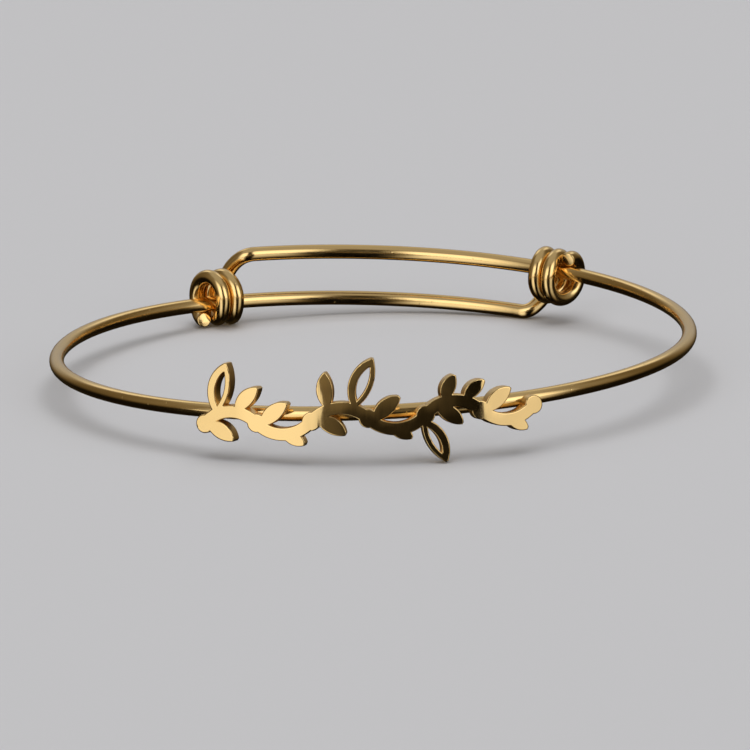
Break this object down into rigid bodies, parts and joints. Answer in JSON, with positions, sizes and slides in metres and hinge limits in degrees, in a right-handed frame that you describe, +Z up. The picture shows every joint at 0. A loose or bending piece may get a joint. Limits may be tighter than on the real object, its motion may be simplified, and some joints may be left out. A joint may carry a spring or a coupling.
{
  "type": "expandable nameplate bracelet",
  "caption": "Round wire bangle with a sliding closure of two rails and two coils at the back, and a curved, pierced leaf plate soldered along its front.",
  "frame": {"origin": "the point of the resting surface straight below the middle of the hoop", "axes": "+Z up as the bangle lies, +Y towards the sliding closure at the back, -Y towards the nameplate, +X to the right"},
  "size_m": [0.066, 0.0674, 0.0108],
  "materials": {
    "gold": "mirror-polished gold plating"
  },
  "bodies": {
    "root": {"bracelet": "gold"}
  },
  "joints": []
}
